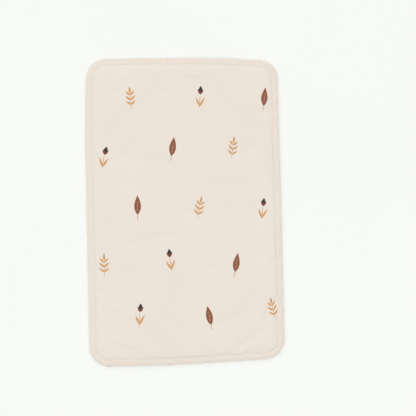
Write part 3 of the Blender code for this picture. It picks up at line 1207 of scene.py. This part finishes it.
def coated_cloth(name, colour, inks):
    """Coated cloth with a fine leather grain, slow changes of tone, painted shade along the stitching and
    rim and, if inks are given, the print.
    """
    desk, shader, material = new_material(name)
    flat = desk.flat_map()
    tone = desk.noise(flat, TONE_SCALE, detail=3.0)
    base = desk.mix(desk.ramp(tone, *NOISE_SPREAD), shaded(colour, 0.985), shaded(colour, 1.012))
    # Painted shade from the seam_shade attribute: darker and warmer along the stitch channel and the rim's
    # outer slope
    seam = desk.add("ShaderNodeAttribute", attribute_name=SEAM_SHADE).outputs["Fac"]
    painted_shade_colour = opaque(part * tint for part, tint in zip(colour, PAINTED_SHADE_TINT))
    base = desk.mix(desk.math("MULTIPLY", seam, PAINTED_SHADE_SHARE), base, painted_shade_colour)
    cells = desk.cells(flat, GRAIN_SCALE, "SMOOTH_F1")
    pores = desk.noise(flat, PORE_SCALE)
    grain = desk.math("ADD", desk.ramp(cells, 0.1, 0.7), desk.math("MULTIPLY", pores, 0.5))
    base = desk.mix(desk.ramp(cells, 0.35, 0.75, 0.0, 0.35), base, shaded(colour, 0.955))
    if inks is not None:
        drift = desk.vector("SUBTRACT", desk.noise(flat, INK_DRIFT_SCALE, output="Color"), (0.5, 0.5, 0.5))
        printed = desk.vector("ADD", flat, desk.vector("MULTIPLY", drift, (INK_DRIFT,) * 3))
        masks = desk.add("ShaderNodeGroup", {"Place": printed}, node_tree=print_group()).outputs
        cover = desk.ramp(desk.noise(flat, INK_WEAR_SCALE, detail=3.0), 0.3, 0.6, *INK_COVER)
        for ink in INKS:
            base = desk.mix(desk.math("MULTIPLY", masks[ink], cover), base, opaque(inks[ink]))
    rough = desk.ramp(tone, *NOISE_SPREAD, 0.40, 0.48)
    rough = desk.math("ADD", rough, desk.ramp(cells, 0.2, 0.7, 0.0, 0.10))
    bump = desk.bump(grain, 0.45, 0.00018)
    desk.fill(shader, {"Base Color": base, "Roughness": rough, "Normal": bump})
    desk.fill(shader, {"IOR": 1.46, "Specular IOR Level": 0.30})
    return material


TWISTS_PER_METRE = 700.0
PLIES = 3.0
FIBRE_SCALE = 14.0


def thread_material(colours):
    """Twisted polyester thread, with painted shade in the valleys between its plies."""
    desk, shader, material = new_material("twisted_thread")
    stretched = desk.vector("MULTIPLY", desk.flat_map(), (TWISTS_PER_METRE, 1.0, 0.0))
    along, around = desk.split(stretched)[:2]
    ply = desk.math("FRACT", desk.math("ADD", along, desk.math("MULTIPLY", around, PLIES)))
    ply = desk.math("SINE", desk.math("MULTIPLY", ply, math.pi))
    fibres = desk.noise(stretched, FIBRE_SCALE, detail=3.0)
    # Painted shade: the valleys between the plies are darker, and the fibres change the tone at random
    tone = desk.ramp(ply, 0.0, 1.0, 0.85, 1.0)
    tone = desk.math("MULTIPLY", tone, desk.ramp(fibres, *FIBRE_SPREAD, 0.85, 1.0))
    colour = tuple(colours.thread)
    base = desk.mix(tone, shaded(colour, 0.74), shaded(colour, 1.03))
    rough = desk.ramp(fibres, *FIBRE_SPREAD, 0.55, 0.75)
    bump = desk.bump(ply, 0.5, 0.00012)
    desk.fill(shader, {"Base Color": base, "Roughness": rough, "Normal": bump, "Sheen Weight": 0.05})
    return material


FOAM_CELL_SCALE = 900.0
FOAM_TONE_SCALE = 12.0


def foam_material(colours):
    """Open-cell foam, with painted shade in its pores."""
    desk, shader, material = new_material("open_cell_foam")
    place = desk.add("ShaderNodeTexCoord").outputs["Object"]
    cells = desk.cells(place, FOAM_CELL_SCALE)
    tone = desk.noise(place, FOAM_TONE_SCALE, detail=3.0)
    colour = tuple(colours.foam)
    base = desk.mix(desk.ramp(tone, *NOISE_SPREAD), shaded(colour, 0.94), shaded(colour, 1.03))
    # Painted shade: the open pores in the middles of the cells are darker
    base = desk.mix(desk.ramp(cells, 0.0, 0.35, 0.7, 0.0), base, shaded(colour, 0.55))
    rough = desk.ramp(tone, *NOISE_SPREAD, 0.85, 0.97)
    bump = desk.bump(cells, 0.6, 0.0004)
    desk.fill(shader, {"Base Color": base, "Roughness": rough, "Normal": bump})
    return material


FLOOR_HALF = 6.0
FLOOR_TONE_SCALE = 1.5


class CHANGING_MAT_OT_stage(bpy.types.Operator):
    """Set the pale floor, the soft light and the camera"""

    bl_idname = "changing_mat.stage"
    bl_label = "Stage"

    def execute(self, context):
        stage = context.scene.mat_stage
        context.scene.view_settings.view_transform = "Standard"
        self.set_floor(stage)
        self.set_light(context.scene, stage)
        self.set_camera(context.scene, stage)
        return {"FINISHED"}

    def set_floor(self, stage):
        """A wide pale floor that keeps a soft shadow."""
        corners = FLOOR_HALF * np.array(((-1, -1, 0), (1, -1, 0), (1, 1, 0), (-1, 1, 0)))
        corners[:, 2] = -FLOOR_GAP
        floor = put_object("floor", new_mesh("floor", corners, [np.array([(0, 1, 2, 3)])]))
        desk, shader, material = new_material("pale_floor")
        place = desk.add("ShaderNodeTexCoord").outputs["Object"]
        tone = desk.ramp(desk.noise(place, FLOOR_TONE_SCALE), *NOISE_SPREAD)
        colour = tuple(stage.floor)
        base = desk.mix(tone, shaded(colour, 0.985), opaque(colour))
        desk.fill(shader, {"Base Color": base, "Roughness": 0.9, "Specular IOR Level": 0.1})
        floor.data.materials.append(material)

    def set_light(self, scene, stage):
        """An even sky and one broad lamp."""
        world = bpy.data.worlds.new("soft_sky")
        world.use_nodes = True
        scene.world = world
        desk = NodeDesk(world.node_tree)
        seen = desk.add("ShaderNodeLightPath").outputs
        shown = desk.math("MAXIMUM", seen["Is Camera Ray"], seen["Is Glossy Ray"])
        shown = desk.math("MAXIMUM", shown, seen["Is Transmission Ray"])
        backdrop = desk.add("ShaderNodeBackground", {"Color": opaque(stage.floor), "Strength": 1.0})
        light = desk.add("ShaderNodeBackground", {"Color": (1.0, 1.0, 1.0, 1.0), "Strength": stage.sky})
        look = desk.add("ShaderNodeMixShader", {0: shown, 1: light.outputs[0], 2: backdrop.outputs[0]})
        end = world.node_tree.nodes["World Output"]
        desk.tree.links.new(look.outputs[0], end.inputs["Surface"])
        lamp = bpy.data.lights.new("soft_lamp", "SUN")
        lamp.energy = stage.lamp
        lamp.angle = stage.lamp_spread
        hung = bpy.data.objects.new("soft_lamp", lamp)
        hung.rotation_euler = Vector(stage.lamp_from).to_track_quat("Z", "Y").to_euler()
        scene.collection.objects.link(hung)

    def set_camera(self, scene, stage):
        """The camera nearly straight above the mat."""
        lens = bpy.data.cameras.new("camera")
        lens.lens = stage.lens
        lens.sensor_width = stage.sensor
        camera = bpy.data.objects.new("camera", lens)
        camera.location = stage.camera_at
        camera.rotation_euler = Euler(stage.camera_turn)
        scene.collection.objects.link(camera)
        scene.camera = camera


OPERATORS = (
    CHANGING_MAT_OT_stage,
    CHANGING_MAT_OT_foam_sheet,
    CHANGING_MAT_OT_underside_cover,
    CHANGING_MAT_OT_top_cover,
    CHANGING_MAT_OT_topstitching,
    CHANGING_MAT_OT_hidden_seam,
)


class CHANGING_MAT_PT_panel(bpy.types.Panel):
    """Lists the pieces of the changing mat."""

    bl_idname = "CHANGING_MAT_PT_panel"
    bl_label = "Changing mat"
    bl_space_type = "VIEW_3D"
    bl_region_type = "UI"
    bl_category = "Changing mat"

    def draw(self, context):
        for operator in OPERATORS:
            self.layout.operator(operator.bl_idname)
        for name in GROUPS:
            group = getattr(context.scene, name)
            for prop in group.bl_rna.properties:
                if prop.identifier not in {"rna_type", "name"}:
                    self.layout.prop(group, prop.identifier)


GROUPS = {"mat_sizes": MatSizes, "mat_lay": MatLay, "mat_colours": MatColours, "mat_stage": MatStage}


def register():
    """Add the properties, operators and panel to Blender."""
    for name, group in GROUPS.items():
        bpy.utils.register_class(group)
        setattr(bpy.types.Scene, name, PointerProperty(type=group))
    for part in (*OPERATORS, CHANGING_MAT_PT_panel):
        bpy.utils.register_class(part)


def unregister():
    """Take the properties, operators and panel out of Blender."""
    for part in (CHANGING_MAT_PT_panel, *reversed(OPERATORS)):
        bpy.utils.unregister_class(part)
    for name, group in reversed(GROUPS.items()):
        delattr(bpy.types.Scene, name)
        bpy.utils.unregister_class(group)


def main():
    register()
    bpy.ops.changing_mat.stage()
    bpy.ops.changing_mat.foam_sheet()
    bpy.ops.changing_mat.underside_cover()
    bpy.ops.changing_mat.top_cover()
    bpy.ops.changing_mat.topstitching()
    bpy.ops.changing_mat.hidden_seam()


if __name__ == "__main__":
    main()
